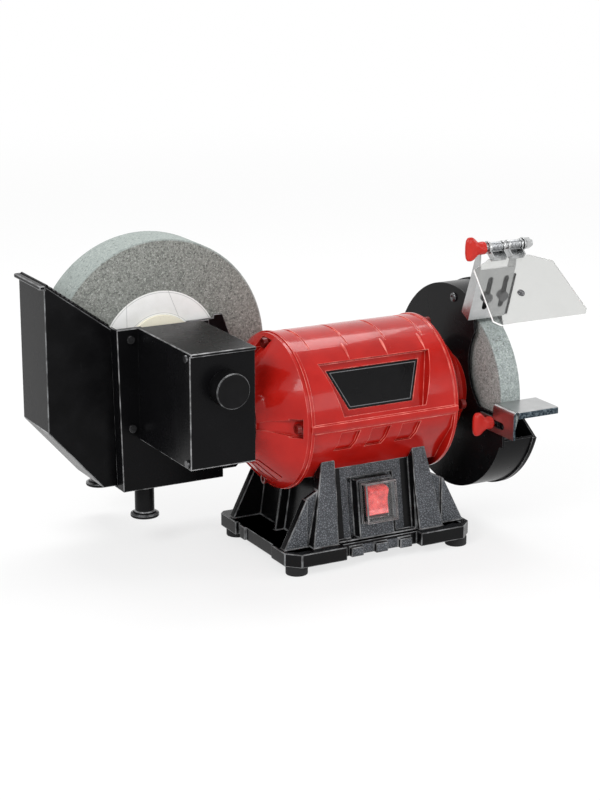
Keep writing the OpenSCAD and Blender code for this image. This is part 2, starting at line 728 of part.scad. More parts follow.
// Outline of the tank in X and Z; w insets it by the wall
module tank_outline(w = 0, top = 0) {
    polygon([[tank_l + w, tank_top + top], [tank_l + w, tank_z + 55.5 + 0.4 * w],
        [tank_l + 49 + 0.5 * w, tank_z + w], [67.5 - wet_x - 0.5 * w, tank_z + w],
        [tank_r - w, tank_z + 42.5 + 0.4 * w], [tank_r - w, spindle_z - 28 + top],
        [77.5 - wet_x, spindle_z - 28 + top], [55.5 - wet_x, tank_rim + 3 + top],
        [46.5 - wet_x, tank_rim + 3 + top], [46.5 - wet_x, tank_rim + top],
        [tank_l + slope_x, tank_rim + top]]);
}
notch_w = 42;
module water_tank() {
    color(black) difference() {
        union() {
            plate_y(tank_front, tank_depth) tank_outline();
            // The flared lip of the left wall
            translate([tank_l - 4, tank_front - 1, tank_top - 3.5])
                cube([4 + lip_root, tank_depth + 2, 3.5]);
        }
        plate_y(tank_front + tank_wall, tank_depth - 2 * tank_wall) union() {
            tank_outline(tank_wall, 0);
            translate([0, 12]) intersection() {
                tank_outline(tank_wall, 20);
                translate([tank_l + tank_wall, tank_z + 60]) square([2 * wet_d, wet_d]);
            }
        }
        // The notches that the spindle and its nut turn in
        plate_y(tank_front - 1, tank_depth + 2) translate([-wet_x - notch_w / 2, spindle_z - notch_w / 2])
            square([notch_w, 80]);
    }
}
// The ribbed rest on the tank's sloping edge: a thin plate with rounded ribs across it
rest_plate = 1.2;
rib_r = 1.2;
rib_lift = 0.1;
rib_pitch = 4.75;
stone_clear = 2.5;
// How far down the slope the rest runs before the stone comes through it
corner = [tank_l + wet_x, tank_top - spindle_z];
towards = -corner * [cos(slope_angle), -sin(slope_angle)];
slot_from = towards - sqrt(pow(towards, 2) - corner * corner + pow(wet_r + stone_clear, 2));
// A shape drawn along the slope and out of it, made as wide as y0 to y1
module along_slope(y0, y1) {
    translate([tank_l, y1, tank_top]) rotate([90, 0, 0]) rotate(-slope_angle)
        linear_extrude(y1 - y0) children();
}
module tank_rest() {
    color(black) difference() {
        along_slope(tank_front, tank_back) {
            translate([rest_from, 0]) square([slope_len - rest_from, rest_plate]);
            for (s = [2.5:rib_pitch:slope_len - 2]) translate([s, rest_plate + rib_lift])
                circle(r = rib_r, $fn = 12);
        }
        // The slot that the stone comes through
        along_slope(wet_y - stone_clear, stone_back + stone_clear) translate([slot_from, -2])
            square([slope_len, 10]);
    }
}
bracket_y = cover_back;
bracket_t = 2;
bracket_l = -wet_x - 50.5;
module tank_bracket() {
    l = bracket_l;
    r = 47.5 - wet_x;
    foot = tank_z - bracket_t;
    top = tank_rim + 3;
    color(black) difference() {
        union() {
            plate_y(bracket_y, bracket_t) polygon([[l + 3, foot], [r, foot], [r, tank_z + 22.5],
                [r - 12, tank_z + 38.5], [r - 12, top], [l, top]]);
            plate_y(bracket_y, 14) polygon([[l + 3, foot], [l + 3 + bracket_t, foot],
                [l + bracket_t, top], [l, top]]);
            // The shelf under the tank
            translate([l + 3, bracket_y, foot]) cube([56, tank_back + 49 - bracket_y, shelf_t]);
        }
        plate_y(bracket_y - 1, bracket_t + 2) translate([-wet_x - notch_w / 2, spindle_z - notch_w / 2])
            square([notch_w, 80]);
    }
}
shelf_t = 1.8;
module bracket_screws() {
    color(steel) for (z = [22, -56]) along_y(bracket_l + 12, bracket_y - 2.5, spindle_z + z)
        cylinder(d = 7, h = 2.5);
}
leg_x = bracket_l + 26.5;
leg_y = [bracket_y + 10, bracket_y + 110];
leg_d = 17;
leg_len = 27;
module tank_legs() {
    color(black) for (y = leg_y) translate([leg_x, y, tank_z - bracket_t - leg_len]) {
        cylinder(d = leg_d + 8, h = 3);
        translate([0, 0, 3]) cylinder(d1 = leg_d + 5, d2 = leg_d, h = 2);
        cylinder(d = leg_d, h = leg_len);
    }
}

// ---------- spark bracket and eye shield ----------
plate_x0 = dry_x - 14;
plate_w = 37;
plate_len = 49;
plate_r0 = dry_d / 2 + bracket_gap;
plate_r0_angle = 58.4;
// A frame on the spark bracket: x right, y up along its face, z out of the face to the front
module on_bracket() {
    translate([0, -plate_r0 * cos(plate_r0_angle), axis_z + plate_r0 * sin(plate_r0_angle)])
        rotate([180 - bracket_lean, 0, 0]) children();
}
// Place of the shield's rod on the bracket: up along the face, and out of it
rod_up = 73.4;
rod_out = 3;
rod_d = 6;
cheek_t = 1.5;
// How far up the face the right cheek starts
cheek_from = plate_len - 6;
plate_t2 = 1.5;
screw_up = 21;
slot_x = [14, 30];
module cheek_outline() {
    // Side cheek: x up along the face, y out of it
    difference() {
        union() {
            polygon([[0, 0], [2, -12], [36, -10], [60, -9.5], [rod_up, -5], [rod_up + 4, rod_out],
                [rod_up - 4, rod_out], [63, -4], [50, 0]]);
            translate([rod_up, rod_out]) circle(r = 5.5);
        }
        translate([rod_up, rod_out]) circle(d = rod_d + 2 * fit);
    }
}
module spark_bracket() {
    color(zinc) on_bracket() {
        difference() {
            translate([plate_x0, 0, -plate_t2]) cube([plate_w, plate_len, plate_t2]);
            for (x = slot_x) translate([plate_x0 + x, 0, -plate_t2 - 1]) {
                translate([-2.6, 12, 0]) cube([5.2, 26, 4]);
                for (y = [12, 38]) translate([0, y, 0]) cylinder(d = 5.2, h = 4);
            }
        }
        plate_x(plate_x0, cheek_t) cheek_outline();
        // The right cheek starts above the guard
        plate_x(plate_x0 + plate_w - cheek_t, cheek_t) intersection() {
            cheek_outline();
            translate([cheek_from, -30]) square([60, 60]);
        }
    }
}
module spark_screws() {
    color(black) on_bracket() for (x = slot_x) translate([plate_x0 + x, screw_up, 0]) {
        translate([0, 0, clear / 3]) cylinder(d = 9, h = 3);
        translate([0, 0, -6]) cylinder(d = 4.5, h = 7);
    }
}
rod_y = -plate_r0 * cos(plate_r0_angle) - rod_up * cos(bracket_lean) - rod_out * sin(bracket_lean);
rod_z = axis_z + plate_r0 * sin(plate_r0_angle) + rod_up * sin(bracket_lean) - rod_out * cos(bracket_lean);
// Length of the red knobs and where their bores start
knob_len = 18.5;
knob_bore = 12;
// The rod starts inside the knob's bore, and the knob stands off the cheek
shield_knob_x = plate_x0 - 2.4 - knob_len;
rod_x0 = shield_knob_x + knob_bore + clear;
rod_x1 = plate_x0 + 45;
module shield_rod() {
    color(zinc) along_x(rod_x0, rod_y, rod_z) {
        cylinder(d = rod_d, h = rod_x1 - rod_x0);
        translate([0, 0, plate_x0 + plate_w + 1 - rod_x0]) cylinder(d = 10, h = 4.5, $fn = 6);
    }
}
// A frame on the eye shield: x right, y down along it, z out of it to the front
shield_off = 5.5;
module on_shield() {
    translate([0, rod_y, rod_z]) rotate([90 - shield_tilt, 0, 0]) mirror([0, 1, 0])
        translate([0, 0, -shield_off]) children();
}
shield_mid = plate_x0 + 22;
module eye_shield() {
    color([0.85, 0.87, 0.88, 0.4]) on_shield() translate([shield_mid, 0, -shield_t])
        linear_extrude(shield_t) polygon([[-21, 8], [19, 8], [39.5, 17], [47, 71], [43, 76],
            [-41, 76], [-47, 71], [-40, 17]]);
}
// Each clamp is a tab on the shield with two ears on the rod, and a spring between the ears
clamp_x = [plate_x0 + cheek_t + clear, plate_x0 + 20];
clamp_w = 14.5;
ear_t = 1.4;
clamp_len = 11;
module shield_clamps() {
    color(zinc) for (x = clamp_x) difference() {
        union() {
            on_shield() translate([x, 2, 0]) cube([clamp_w, clamp_len - 2, 1.2]);
            for (ex = [x, x + clamp_w - ear_t]) {
                on_shield() translate([ex, 0, 0]) cube([ear_t, clamp_len, shield_off]);
                along_x(ex, rod_y, rod_z) cylinder(r = rod_d / 2 + 1.6, h = ear_t);
            }
        }
        along_x(x - 1, rod_y, rod_z) cylinder(r = rod_d / 2 + fit, h = clamp_w + 2);
    }
}
module shield_springs() {
    color(zinc) for (x = clamp_x) along_x(x + ear_t + clear, rod_y, rod_z)
        ring(4.2, rod_d / 2, clamp_w - 2 * ear_t - 2 * clear);
}
// Outline of the red knobs' wings: x along the rod, y across it
wing_t = 6;
module wing_outline() {
    polygon([[0, -7.5], [2.5, -10.3], [7, -10.3], [11, -6.5], [13.5, -5.4], [13.5, 5.4], [11, 6.5],
        [7, 10.3], [2.5, 10.3], [0, 7.5]]);
}
module wing_knob(bore) {
    difference() {
        union() {
            translate([0, wing_t / 2, 0]) rotate([0, -90, 90]) linear_extrude(wing_t) wing_outline();
            translate([0, 0, 11]) cylinder(d = 11, h = knob_len - 11);
        }
        translate([0, 0, knob_bore]) cylinder(d = bore, h = knob_len);
    }
}
module shield_knob() { color(red) along_x(shield_knob_x, rod_y, rod_z) wing_knob(rod_d + 2 * fit); }

// ---------- tool rest ----------
rest_z = 130;
rest_t = 2;
rest_x = guard_x - lug_t - clear / 3 - rest_t;
bend_r = 4;
rest_front = -110;
rest_back = -(dry_d / 2 + rest_gap);
rest_drop = 25;
rest_rear = -58;
module rest_profile() {
    // The bent sheet from the front: down on the left, along the wheel at the top
    translate([rest_x, rest_z - rest_drop]) square([rest_t, rest_drop - bend_r]);
    translate([rest_x + bend_r, rest_z - rest_t]) square([rest_len - bend_r, rest_t]);
    intersection() {
        translate([rest_x + bend_r, rest_z - bend_r]) difference() {
            circle(r = bend_r);
            circle(r = bend_r - rest_t);
        }
        translate([rest_x, rest_z - bend_r]) square(bend_r);
    }
}
rest_slot_z = 113;
module tool_rest() {
    color(zinc) difference() {
        union() {
            plate_y(rest_front, rest_back - rest_front) rest_profile();
            translate([rest_x, rest_front, rest_z - rest_drop]) cube([rest_t, rest_rear - rest_front, 13]);
            // The lip along the front edge
            translate([rest_x + bend_r, rest_front, rest_z - rest_t]) rotate([0, 90, 0])
                cylinder(r = rest_t, h = rest_len - bend_r);
            translate([rest_x + bend_r, rest_front - rest_t, rest_z - rest_t - 4])
                cube([rest_len - bend_r, rest_t, 4]);
        }
        for (y = [-92, -66]) translate([rest_x - 1, y, rest_slot_z]) rotate([0, 90, 0]) cylinder(d = 6.4, h = 4);
        translate([rest_x - 1, -92, rest_slot_z - 3.2]) cube([4, 26, 6.4]);
    }
}
bolt_y = -76;
bolt_d = 6;
rest_knob_x = rest_x - clear / 2 - knob_len;
bolt_x0 = rest_knob_x + knob_bore + clear;
module rest_bolt() {
    color(zinc) along_x(bolt_x0, bolt_y, rest_slot_z) {
        cylinder(d = bolt_d, h = guard_in - bolt_x0);
        translate([0, 0, guard_in - bolt_x0]) cylinder(d = 11, h = 2);
    }
}
module rest_knob() { color(red) along_x(rest_knob_x, bolt_y, rest_slot_z) wing_knob(bolt_d + 2 * fit); }

stand();
bottom_plate();
rubber_feet();
motor_casing();
left_end_cap();
right_end_cap();
end_cap_screws();
nameplate();
stator_core();
stator_windings();
motor_bearings();
capacitor();
cable_gland();
switch_body();
switch_hood();
rocker();
motor_shaft();
rotor_core();
worm();
dry_wheel();
wheel_flanges();
wheel_nut();
guard_shell();
guard_cover();
guard_screws();
gear_housing();
spindle_bushes();
gearbox_cover();
cover_screws();
spindle_cap();
wet_spindle();
worm_wheel();
wet_stone();
stone_label();
stone_flanges();
spindle_nut();
tank_bracket();
bracket_screws();
tank_legs();
water_tank();
tank_rest();
spark_bracket();
spark_screws();
shield_rod();
eye_shield();
shield_clamps();
shield_springs();
shield_knob();
tool_rest();
rest_bolt();
rest_knob();
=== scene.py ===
import bmesh
import bpy
import math
import numpy as np
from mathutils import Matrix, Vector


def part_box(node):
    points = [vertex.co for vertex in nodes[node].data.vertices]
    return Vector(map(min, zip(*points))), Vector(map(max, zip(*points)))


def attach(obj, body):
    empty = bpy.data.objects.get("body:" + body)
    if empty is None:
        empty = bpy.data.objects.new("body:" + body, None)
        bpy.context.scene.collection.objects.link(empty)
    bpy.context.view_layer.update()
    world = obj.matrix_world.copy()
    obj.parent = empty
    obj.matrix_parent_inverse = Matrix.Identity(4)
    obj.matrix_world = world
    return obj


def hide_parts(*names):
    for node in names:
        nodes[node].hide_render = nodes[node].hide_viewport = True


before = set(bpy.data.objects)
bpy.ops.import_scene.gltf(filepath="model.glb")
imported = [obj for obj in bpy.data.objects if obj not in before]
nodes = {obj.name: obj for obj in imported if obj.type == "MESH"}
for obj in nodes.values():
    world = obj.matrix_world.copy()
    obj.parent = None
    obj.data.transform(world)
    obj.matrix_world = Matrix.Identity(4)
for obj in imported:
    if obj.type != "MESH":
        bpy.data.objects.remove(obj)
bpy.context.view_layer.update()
MM = 0.001

# places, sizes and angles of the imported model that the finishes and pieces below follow, in mm and
# degrees
AXIS_Z = 128.0                                  # height of the motor shaft
CASING_R = 67.0                                 # radius of the motor casing
DRY_CENTRE = (0, 0, AXIS_Z)                     # a point on the dry wheel's axis
DRY_RIM = 73.9                                  # radius from which its rim counts as dressed
WET_CENTRE = (-139.5, 0, 168)                   # a point on the wet stone's axis
WET_RIM = 98.6
PLATE_LEAN = 26.0                               # how far the nameplate leans back
PLATE_OUT = 57.0                                # its distance from the motor shaft's axis
SHIELD_LEAN = 50.0                              # how far the eye shield leans
ROD_Y = -67.9492                                # the rod that carries the shield, knob and springs
ROD_Z = 264.623
SPRING_SPANS = ((99.5, 110.6), (117.7, 128.8))  # from where to where on the rod, along x
KNOB_BORE = 3.05                                # radius of the hole in each wing knob
# the beads below stand in for highlights where the casing's grooves end
BEAD_X = (-23.2, 13.7, 50.6)                    # middles of the three beads on the casing
FACE_BOLT = (104, -6.1, 208.6)                  # on the guard's face beside the wheel
SHIELD_RIVET = (110.2, -100.2, 230.4)           # on the eye shield's front

# where the camera stands, in m, how many degrees it looks down and to its right, and its lens in mm
CAMERA_PLACE = (-0.86385, -1.52327, 0.61995)
CAMERA_DOWN = 15.7175
CAMERA_RIGHT = 28.2385
CAMERA_LENS = 94.5

# the point that every lamp looks at, in m
LAMP_TARGET = (0, 0, 0.15)

# how meshes are tidied and hard edges are rounded, in mm and degrees
MERGE_REACH = 0.004
WELD_REACH = 0.02
FLAT_ANGLE = 1.0
HARD_ANGLE = 34
SPLIT_ANGLE = 38
EVEN_WEIGHT = 60


# ---------------------------------------------------------------- studio

def aim_camera():
    """The camera stands in front of the machine on its wet-stone side and looks down at it a little."""
    data = bpy.data.cameras.new("studio_camera")
    data.sensor_fit = "AUTO"
    data.sensor_width = 36.0
    data.lens = CAMERA_LENS
    data.clip_start = 0.05
    data.clip_end = 50.0
    camera = bpy.data.objects.new("studio_camera", data)
    camera.location = CAMERA_PLACE
    camera.rotation_euler = (math.radians(90 - CAMERA_DOWN), 0.0, math.radians(-CAMERA_RIGHT))
    bpy.context.scene.collection.objects.link(camera)
    bpy.context.scene.camera = camera


def soft_lamp(name, place, width, height, watts):
    """A rectangular white soft box that looks at the middle of the machine; all in m and watts."""
    data = bpy.data.lights.new(name, "AREA")
    data.shape = "RECTANGLE"
    data.size = width
    data.size_y = height
    data.energy = watts
    lamp = bpy.data.objects.new(name, data)
    lamp.location = place
    way = np.array(LAMP_TARGET, float) - np.array(place, float)
    flat = math.hypot(way[0], way[1])
    lamp.rotation_euler = (math.atan2(flat, -way[2]), 0.0, math.atan2(-way[0], way[1]))
    bpy.context.scene.collection.objects.link(lamp)


# ---------------------------------------------------------------- shader arithmetic

# sockets of a Mix node that mixes colours
MIX_FACTOR = 0
MIX_FIRST = 6
MIX_SECOND = 7
MIX_RESULT = 2


class Value:
    """A number that varies over a surface; arithmetic on it adds Math nodes to its tree."""

    def __init__(self, finish, socket):
        self.finish = finish
        self.socket = socket

    def _math(self, operation, *terms):
        node = self.finish.node("ShaderNodeMath", dict(operation=operation), *terms)
        return Value(self.finish, node.outputs[0])

    def __add__(self, other):
        return self._math("ADD", self, other)

    __radd__ = __add__

    def __sub__(self, other):
        return self._math("SUBTRACT", self, other)

    def __rsub__(self, other):
        return self._math("SUBTRACT", other, self)

    def __mul__(self, other):
        return self._math("MULTIPLY", self, other)

    __rmul__ = __mul__

    def __pow__(self, other):
        return self._math("POWER", self, other)

    def __neg__(self):
        return self._math("MULTIPLY", self, -1.0)

    def __abs__(self):
        return self._math("ABSOLUTE", self)

    def most(self, other):
        return self._math("MAXIMUM", self, other)

    def least(self, other):
        return self._math("MINIMUM", self, other)

    def ramp(self, low, high):
        """0 below low, 1 above high, and smooth between them."""
        node = self.finish.node("ShaderNodeMapRange", dict(interpolation_type="SMOOTHSTEP"),
                                self, low, high, 0.0, 1.0)
        return Value(self.finish, node.outputs[0])

    def past(self, edge, fade=0.2):
        """0 before an edge and 1 past it, smooth for fade on each side of it."""
        return self.ramp(edge - fade, edge + fade)

    def line(self, place, core, blur):
        """1 where the number is within core of a place, and smoothly 0 from blur away."""
        return 1 - abs(self - place).ramp(core, blur)


class Finish:
    """One material: a Principled shader, and what varies is worked out from the object's coordinates."""

    def __init__(self, name, **constants):
        self.material = bpy.data.materials.new(name)
        self.material.use_nodes = True
        self.tree = self.material.node_tree
        self.shader = self.tree.nodes["Principled BSDF"]
        for label, value in constants.items():
            self.shader.inputs[label.replace("_", " ")].default_value = value
        self.where = self.node("ShaderNodeTexCoord").outputs["Object"]

    def node(self, kind, settings=None, *values, **named):
        """Adds a node: its settings first, then its inputs in order or by name, as numbers or links."""
        made = self.tree.nodes.new(kind)
        for label, value in (settings or {}).items():
            setattr(made, label, value)
        pairs = [(made.inputs[i], v) for i, v in enumerate(values)]
        pairs += [(made.inputs[k.replace("_", " ")], v) for k, v in named.items()]
        for socket, value in pairs:
            self.give(socket, value)
        return made

    def give(self, socket, value):
        """Links a socket to a varying value, or sets it to a plain one."""
        if isinstance(value, Value):
            self.tree.links.new(value.socket, socket)
        elif isinstance(value, bpy.types.NodeSocket):
            self.tree.links.new(value, socket)
        else:
            socket.default_value = value

    def placed(self, centre=(0, 0, 0), turn=(0, 0, 0), stretch=(1, 1, 1)):
        """Object coordinates seen from a centre given in mm, turned, then stretched."""
        shift = self.node("ShaderNodeVectorMath", dict(operation="SUBTRACT"), self.where,
                          tuple(c * MM for c in centre)).outputs[0]
        return self.node("ShaderNodeMapping", dict(vector_type="POINT"), shift, (0, 0, 0), turn,
                         stretch).outputs[0]

    def axes(self, vector=None):
        """The three parts of a vector, or of the object coordinates, in m."""
        parts = self.node("ShaderNodeSeparateXYZ", None, vector or self.where).outputs
        return [Value(self, parts[i]) for i in range(3)]

    def axes_mm(self, vector=None):
        """The same three parts in mm."""
        return [part * 1000 for part in self.axes(vector)]

    def noise(self, grain_mm, detail=2.0, rough=0.5, vector=None):
        """Cloudy noise about 0.5 whose lumps are grain_mm across."""
        made = self.node("ShaderNodeTexNoise", None, Vector=vector or self.where,
                         Scale=1.0 / (grain_mm * MM), Detail=detail, Roughness=rough)
        return Value(self, made.outputs["Fac"])

    def cells(self, grain_mm, feature="F1"):
        """Cell pattern whose cells are grain_mm across: the distance from each cell's middle or edge."""
        made = self.node("ShaderNodeTexVoronoi", dict(feature=feature), Vector=self.where,
                         Scale=1.0 / (grain_mm * MM))
        return Value(self, made.outputs["Distance"])

    def grains(self, grain_mm, channel):
        """Cells that each have one random number, taken from a channel of the pattern's colour."""
        made = self.node("ShaderNodeTexVoronoi", None, Vector=self.where, Scale=1.0 / (grain_mm * MM))
        split = self.node("ShaderNodeSeparateColor", None, made.outputs["Color"])
        return Value(self, split.outputs[channel])

    def mix(self, factor, first, second):
        """A colour between two colours."""
        made = self.node("ShaderNodeMix", dict(data_type="RGBA"))
        self.give(made.inputs[MIX_FACTOR], factor)
        for place, colour in ((MIX_FIRST, first), (MIX_SECOND, second)):
            plain = isinstance(colour, tuple)
            self.give(made.inputs[place], colour + (1.0,) if plain else colour)
        return made.outputs[MIX_RESULT]

    def relief(self, height, depth_mm):
        """Turns a height from 0 to 1 into relief depth_mm deep."""
        made = self.node("ShaderNodeBump", None, Strength=1.0, Distance=depth_mm * MM, Height=height)
        self.tree.links.new(made.outputs[0], self.shader.inputs["Normal"])

    def facing(self):
        """The three parts of the direction that the surface faces."""
        return self.axes(self.node("ShaderNodeNewGeometry").outputs["Normal"])

    def varies(self, **links):
        """Links what varies to the shader's own inputs."""
        for label, value in links.items():
            self.give(self.shader.inputs[label.replace("_", " ")], value)
        return self.material

    def shown(self, shader):
        """Shows the output of a shader in place of the plain Principled one."""
        self.tree.links.new(shader, self.tree.nodes["Material Output"].inputs[0])
        return self.material


# ---------------------------------------------------------------- finishes

def moulded_finish(name, dark, light, gloss, grain=0.5, depth=0.04, level=0.4):
    """Moulded plastic: a fine spark-eroded grain, faint clouds in colour and polish, a few scuffs."""
    f = Finish(name, Specular_IOR_Level=level)
    cloud = f.noise(24, 3)
    fine = f.noise(grain, 2)
    scuff = f.noise(5, 4, 0.7, f.placed(stretch=(1, 1, 0.16))).ramp(0.66, 0.8)
    colour = f.mix(cloud.ramp(0.3, 0.7), dark, light)
    colour = f.mix(scuff * 0.35, colour, tuple(min(1.0, c * 1.8 + 0.01) for c in light))
    f.relief(fine, depth)
    rough = gloss + (cloud - 0.5) * 0.14 + (fine - 0.5) * 0.10 + scuff * 0.10
    return f.varies(Base_Color=colour, Roughness=rough)


def edge_finish(name, dull, bright, level):
    """A rounded edge painted brighter: a painted highlight along it, with some handling wear, broken into
    lengths of a centimetre.
    """
    f = Finish(name, Specular_IOR_Level=level)
    # where the painted edge highlight is brighter, broken up like wear
    wear_and_highlight = f.noise(11, 3, 0.6).ramp(0.34, 0.66)
    speck = f.noise(1.2, 2)
    f.relief(speck, 0.01)
    return f.varies(Base_Color=f.mix(wear_and_highlight, dull, bright),
                    Roughness=0.3 - wear_and_highlight * 0.1 + (speck - 0.5) * 0.08)


def stand_finish(name):
    """The stand's moulding: gloss black, with a pebbled grain like fine leather on its panels, whose grey
    is a painted sheen on the pebbles with painted shade in the creases between them.
    A panel is known by facing ahead and by its place, in mm from the middle, ahead of the middle and
    above the bench. The panels are the one round the switch, the ribs beside it and the sill below."""
    switch_panel_half = 29.8
    ribs_from = 39.1
    front_from = 30.5
    flange_top = 20.8
    sill_half = 30.6
    sill_low = 9.2
    sill_high = 16.8
    f = Finish(name, Specular_IOR_Level=0.14)
    x, y, z = f.axes_mm()
    side = abs(x)
    ahead = (-f.facing()[1]).ramp(0.94, 0.975) * (-y).past(front_from, 0.5)
    middle = 1 - side.past(switch_panel_half)
    rib = side.past(ribs_from)
    sill = (1 - z.past(sill_high)) * z.past(sill_low) * (1 - side.past(sill_half))
    panel = ahead * (middle.most(rib) * z.past(flange_top)).most(sill)
    crease = f.cells(1.9, "DISTANCE_TO_EDGE").ramp(0.02, 0.26)
    cloud = f.noise(20, 3)
    fine = f.noise(0.6, 2)
    smooth = f.mix(cloud, (0.002, 0.002, 0.0023), (0.005, 0.005, 0.0055))
    # the pebbles' grey is a painted sheen, and their darker creases are painted shade
    pebble_sheen_and_shade = f.mix(crease * 0.75 + cloud * 0.25, (0.030, 0.032, 0.036), (0.150, 0.160, 0.175))
    f.relief(crease * panel + fine * 0.2 * (1 - panel), 0.3)
    rough = 0.22 + (cloud - 0.5) * 0.12 + (fine - 0.5) * 0.06
    return f.varies(Base_Color=f.mix(panel, smooth, pebble_sheen_and_shade),
                    Roughness=rough + panel * (0.30 - crease * 0.12))


def plate_finish(name):
    """The bare nameplate: polished black, with one thin silver line set in from its four edges.
    The plate is wider above than below, so the line keeps its distance from the slanting ends too.
    Its outline is given in mm from its middle; end_square turns a distance from a slanting end that
    is measured level into one measured square to that end."""
    top_edge = 17.5
    bottom_edge = 17.0
    bottom_half = 30.5
    end_widening = 14 / (top_edge + bottom_edge)
    end_square = 0.927
    line_inset = 2.0
    f = Finish(name, Specular_IOR_Level=0.12)
    lean = math.radians(PLATE_LEAN)
    centre = (0, -PLATE_OUT * math.cos(lean), AXIS_Z + PLATE_OUT * math.sin(lean))
    x, y, _ = f.axes_mm(f.placed(centre, (lean - math.pi / 2, 0, 0)))
    above = top_edge - y
    below = y + bottom_edge
    ends = (bottom_half + below * end_widening - abs(x)) * end_square
    line = above.least(below).least(ends).line(line_inset, 0.16, 0.42)
    cloud = f.noise(18, 3)
    hair = f.noise(0.35, 2, 0.5, f.placed(turn=(0, 0, 0.5), stretch=(0.03, 1, 1))).ramp(0.66, 0.74)
    colour = f.mix(cloud, (0.002, 0.002, 0.0025), (0.005, 0.005, 0.0055))
    colour = f.mix(line * 0.7, colour, (0.22, 0.23, 0.24))
    f.relief(hair, 0.004)
    rough = 0.14 + (cloud - 0.5) * 0.08 + hair * 0.1 + line * 0.2
    return f.varies(Base_Color=colour, Roughness=rough)


def enamel_finish(name, deep, bright, gloss=0.2):
    """Glossy red shell: slight ripple in the gloss, faint clouds, a few dull dusty patches."""
    f = Finish(name, Coat_Roughness=0.05, Coat_IOR=1.33, Specular_IOR_Level=0.14)
    cloud = f.noise(30, 3)
    peel = f.noise(1.7, 2)
    dull = f.noise(16, 4, 0.6).ramp(0.5, 0.85)
    colour = f.mix(cloud.ramp(0.25, 0.75), deep, bright)
    colour = f.mix(dull * 0.25, colour, tuple(c * 0.8 for c in deep))
    f.relief(peel, 0.012)
    return f.varies(Base_Color=colour, Roughness=gloss + dull * 0.1 + (peel - 0.5) * 0.06,
                    Coat_Weight=0.42 - dull * 0.2)


def powder_finish(name, tone, gloss=0.34):
    """Black powder coat on sheet: orange-peel lumps under a millimetre, and rubbed, greyer patches."""
    f = Finish(name, Specular_IOR_Level=0.08)
    peel = f.noise(0.8, 2)
    cloud = f.noise(26, 4)
    rub = f.noise(7, 5, 0.7).ramp(0.62, 0.78)
    colour = f.mix(cloud, tuple(c * 0.75 for c in tone), tuple(c * 1.3 for c in tone))
    colour = f.mix(rub * 0.2, colour, tuple(c * 2.0 for c in tone))
    f.relief(peel, 0.05)
    return f.varies(Base_Color=colour, Roughness=gloss + (cloud - 0.5) * 0.16 + rub * 0.12)


def stone_finish(name, centre, rim_radius, face_dark, face_light, rim_dark, rim_light, along):
    """Bonded grit: grains under a millimetre in several greys, the rim dressed to a lighter tone.
    The rim is where the distance from the axis, worked out from the coordinates, passes rim_radius."""
    f = Finish(name, Specular_IOR_Level=0.25)
    x, y, z = f.axes_mm(f.placed(centre))
    across = y if along == "x" else x
    radius = (across * across + z * z) ** 0.5
    rim = radius.ramp(rim_radius - 0.5, rim_radius + 0.2)
    grit = f.grains(0.85, 0)
    coarse = f.grains(1.5, 1)
    cloud = f.noise(22, 4)
    mixer = grit * 0.5 + coarse * 0.35 + cloud * 0.15
    face = f.mix(mixer, face_dark, face_light)
    edge = f.mix(mixer, rim_dark, rim_light)
    sparkle = grit.ramp(0.95, 0.98)
    colour = f.mix(rim, face, edge)
    colour = f.mix(sparkle * 0.3, colour, (0.66, 0.67, 0.64))
    colour = f.mix((1 - coarse).ramp(0.94, 0.98) * 0.35, colour, (0.07, 0.07, 0.065))
    f.relief(grit * 0.6 + coarse * 0.4, 0.16)
    return f.varies(Base_Color=colour, Roughness=0.9 - sparkle * 0.35)


def brushed_finish(name, dark, light, grain_way, gloss=0.3, metal=1.0):
    """Zinc-plated or brushed metal: fine lines one way, soft clouds, and small duller stains."""
    f = Finish(name, Metallic=metal)
    stretch = {"x": (0.05, 1, 1), "y": (1, 0.05, 1), "z": (1, 1, 0.05)}[grain_way]
    lines = f.noise(0.45, 3, 0.6, f.placed(stretch=stretch))
    cloud = f.noise(11, 4)
    stain = f.noise(4, 5, 0.7).ramp(0.6, 0.8)
    colour = f.mix(cloud * 0.6 + lines * 0.4, dark, light)
    colour = f.mix(stain * 0.3, colour, tuple(c * 0.6 for c in dark))
    f.relief(lines, 0.02)
    return f.varies(Base_Color=colour, Roughness=gloss + (lines - 0.5) * 0.16 + stain * 0.15)


def rest_finish(name, dark, light):
    """Zinc plate of the tool rest: lines along it, clouds, and a front lip painted dark and spotty, a
    painted reflection of dark surroundings.
    The lip is known by facing ahead."""
    f = Finish(name, Metallic=1.0)
    lip = (-f.facing()[1]).ramp(0.55, 0.85)
    lines = f.noise(0.5, 3, 0.6, f.placed(stretch=(0.05, 1, 1)))
    cloud = f.noise(9, 4)
    spots = f.noise(2.2, 4, 0.7).ramp(0.4, 0.65)
    colour = f.mix(cloud * 0.6 + lines * 0.4, dark, light)
    # painted reflection: the front lip darkened as if it mirrored dark surroundings
    lip_painted_reflection = f.mix(spots, (0.012, 0.020, 0.028), (0.12, 0.15, 0.17))
    f.relief(lines, 0.02)
    return f.varies(Base_Color=f.mix(lip, colour, lip_painted_reflection), Roughness=0.24 + lines * 0.12 + lip * 0.1)


def rubber_finish(name):
    """Black rubber: dull, finely pitted, dusty in patches."""
    f = Finish(name, Specular_IOR_Level=0.3)
    pit = f.noise(0.7, 3)
    dust = f.noise(6, 4).ramp(0.5, 0.75)
    colour = f.mix(dust * 0.5, (0.008, 0.008, 0.009), (0.035, 0.034, 0.032))
    f.relief(pit, 0.06)
    return f.varies(Base_Color=colour, Roughness=0.72 + dust * 0.14)


